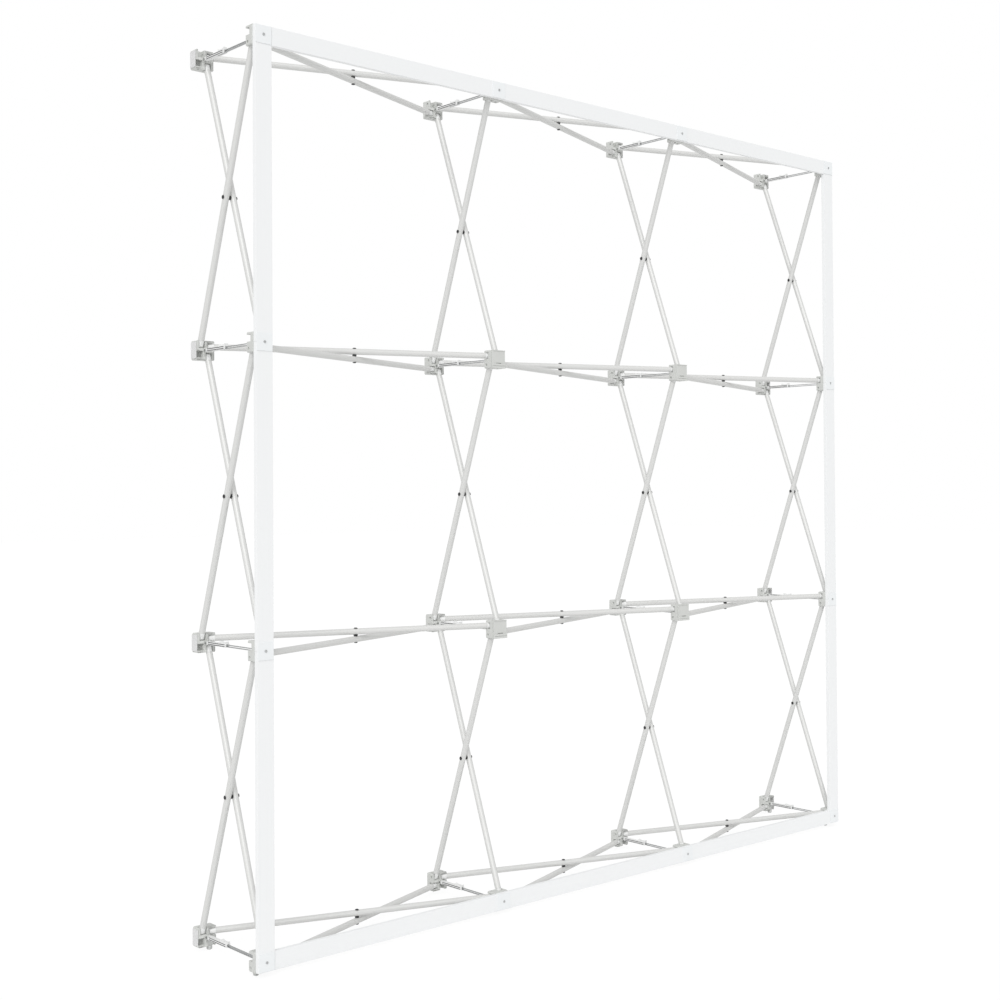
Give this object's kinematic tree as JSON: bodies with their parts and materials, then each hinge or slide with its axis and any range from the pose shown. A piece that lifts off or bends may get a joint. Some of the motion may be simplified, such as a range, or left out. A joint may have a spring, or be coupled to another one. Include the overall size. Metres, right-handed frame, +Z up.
{
  "type": "pop up display backwall frame",
  "caption": "Upright square lattice of crossed tubes between front and back hubs, with flat bars round the front and a hinged lock arm in each hub pair",
  "frame": {"origin": "centre of the overall box at the floor, under the feet", "axes": "+X across the wall to the right as seen from the front, +Y from front to back, +Z up; the fabric side with the flat bars faces -Y"},
  "size_m": [2.258, 0.3108, 2.2645],
  "materials": {
    "hub_plastic": "satin moulded",
    "tube_aluminium": "satin anodised",
    "plug_plastic": "satin moulded",
    "pin_steel": "satin",
    "rivet_black": "satin",
    "washer_black": "matt",
    "bar_white": "satin white paint",
    "plate_white": "satin",
    "cover_grey": "satin moulded",
    "screw_dark": "satin",
    "lock_white": "satin moulded",
    "lock_steel": "satin",
    "foot_plastic": "satin moulded",
    "pad_white": "woven hook tape"
  },
  "bodies": {
    "frame": {"back_hubs_row_1": "hub_plastic", "back_hubs_row_2": "hub_plastic", "back_hubs_row_3": "hub_plastic", "back_hubs_row_4": "hub_plastic", "front_hubs_row_1": "hub_plastic", "front_hubs_row_2": "hub_plastic", "front_hubs_row_3": "hub_plastic", "front_hubs_row_4": "hub_plastic", "upper_tubes_row_1": "tube_aluminium", "upper_tubes_row_2": "tube_aluminium", "upper_tubes_row_3": "tube_aluminium", "upper_tubes_row_4": "tube_aluminium", "lower_tubes_row_1": "tube_aluminium", "lower_tubes_row_2": "tube_aluminium", "lower_tubes_row_3": "tube_aluminium", "lower_tubes_row_4": "tube_aluminium", "left_tubes_column_1": "tube_aluminium", "left_tubes_column_2": "tube_aluminium", "left_tubes_column_3": "tube_aluminium", "left_tubes_column_4": "tube_aluminium", "right_tubes_column_1": "tube_aluminium", "right_tubes_column_2": "tube_aluminium", "right_tubes_column_3": "tube_aluminium", "right_tubes_column_4": "tube_aluminium", "row_tube_plugs": "plug_plastic", "column_tube_plugs": "plug_plastic", "hub_pins": "pin_steel", "scissor_rivets": "rivet_black", "scissor_washers": "washer_black", "top_bars": "bar_white", "bottom_bars": "bar_white", "left_bars": "bar_white", "right_bars": "bar_white", "corner_plates": "plate_white", "edge_plates": "plate_white", "middle_covers": "cover_grey", "plate_screws": "screw_dark", "lock_bars_row_1": "lock_steel", "lock_bars_row_2": "lock_steel", "lock_bars_row_3": "lock_steel", "lock_bars_row_4": "lock_steel", "lock_pins": "pin_steel", "feet": "foot_plastic", "side_pads": "pad_white"},
    "lock_1_1": {"lock_arm_1_1": "lock_white"},
    "lock_1_2": {"lock_arm_1_2": "lock_white"},
    "lock_1_3": {"lock_arm_1_3": "lock_white"},
    "lock_1_4": {"lock_arm_1_4": "lock_white"},
    "lock_2_1": {"lock_arm_2_1": "lock_white"},
    "lock_2_2": {"lock_arm_2_2": "lock_white"},
    "lock_2_3": {"lock_arm_2_3": "lock_white"},
    "lock_2_4": {"lock_arm_2_4": "lock_white"},
    "lock_3_1": {"lock_arm_3_1": "lock_white"},
    "lock_3_2": {"lock_arm_3_2": "lock_white"},
    "lock_3_3": {"lock_arm_3_3": "lock_white"},
    "lock_3_4": {"lock_arm_3_4": "lock_white"},
    "lock_4_1": {"lock_arm_4_1": "lock_white"},
    "lock_4_2": {"lock_arm_4_2": "lock_white"},
    "lock_4_3": {"lock_arm_4_3": "lock_white"},
    "lock_4_4": {"lock_arm_4_4": "lock_white"}
  },
  "joints": [
    {"name": "lock_hinge_1_1", "type": "hinge", "parent": "frame", "child": "lock_1_1", "pos_m": [-1.1025, 0.1229, 2.24], "axis": [-1, 0, 0], "range_deg": [0, 60]},
    {"name": "lock_hinge_1_2", "type": "hinge", "parent": "frame", "child": "lock_1_2", "pos_m": [-0.3675, 0.1229, 2.24], "axis": [-1, 0, 0], "range_deg": [0, 60]},
    {"name": "lock_hinge_1_3", "type": "hinge", "parent": "frame", "child": "lock_1_3", "pos_m": [0.3675, 0.1229, 2.24], "axis": [-1, 0, 0], "range_deg": [0, 60]},
    {"name": "lock_hinge_1_4", "type": "hinge", "parent": "frame", "child": "lock_1_4", "pos_m": [1.1025, 0.1229, 2.24], "axis": [-1, 0, 0], "range_deg": [0, 60]},
    {"name": "lock_hinge_2_1", "type": "hinge", "parent": "frame", "child": "lock_2_1", "pos_m": [-1.1025, 0.1229, 1.505], "axis": [-1, 0, 0], "range_deg": [0, 60]},
    {"name": "lock_hinge_2_2", "type": "hinge", "parent": "frame", "child": "lock_2_2", "pos_m": [-0.3675, 0.1229, 1.505], "axis": [-1, 0, 0], "range_deg": [0, 60]},
    {"name": "lock_hinge_2_3", "type": "hinge", "parent": "frame", "child": "lock_2_3", "pos_m": [0.3675, 0.1229, 1.505], "axis": [-1, 0, 0], "range_deg": [0, 60]},
    {"name": "lock_hinge_2_4", "type": "hinge", "parent": "frame", "child": "lock_2_4", "pos_m": [1.1025, 0.1229, 1.505], "axis": [-1, 0, 0], "range_deg": [0, 60]},
    {"name": "lock_hinge_3_1", "type": "hinge", "parent": "frame", "child": "lock_3_1", "pos_m": [-1.1025, 0.1229, 0.77], "axis": [-1, 0, 0], "range_deg": [0, 60]},
    {"name": "lock_hinge_3_2", "type": "hinge", "parent": "frame", "child": "lock_3_2", "pos_m": [-0.3675, 0.1229, 0.77], "axis": [-1, 0, 0], "range_deg": [0, 60]},
    {"name": "lock_hinge_3_3", "type": "hinge", "parent": "frame", "child": "lock_3_3", "pos_m": [0.3675, 0.1229, 0.77], "axis": [-1, 0, 0], "range_deg": [0, 60]},
    {"name": "lock_hinge_3_4", "type": "hinge", "parent": "frame", "child": "lock_3_4", "pos_m": [1.1025, 0.1229, 0.77], "axis": [-1, 0, 0], "range_deg": [0, 60]},
    {"name": "lock_hinge_4_1", "type": "hinge", "parent": "frame", "child": "lock_4_1", "pos_m": [-1.1025, 0.1229, 0.035], "axis": [-1, 0, 0], "range_deg": [0, 60]},
    {"name": "lock_hinge_4_2", "type": "hinge", "parent": "frame", "child": "lock_4_2", "pos_m": [-0.3675, 0.1229, 0.035], "axis": [-1, 0, 0], "range_deg": [0, 60]},
    {"name": "lock_hinge_4_3", "type": "hinge", "parent": "frame", "child": "lock_4_3", "pos_m": [0.3675, 0.1229, 0.035], "axis": [-1, 0, 0], "range_deg": [0, 60]},
    {"name": "lock_hinge_4_4", "type": "hinge", "parent": "frame", "child": "lock_4_4", "pos_m": [1.1025, 0.1229, 0.035], "axis": [-1, 0, 0], "range_deg": [0, 60]}
  ]
}
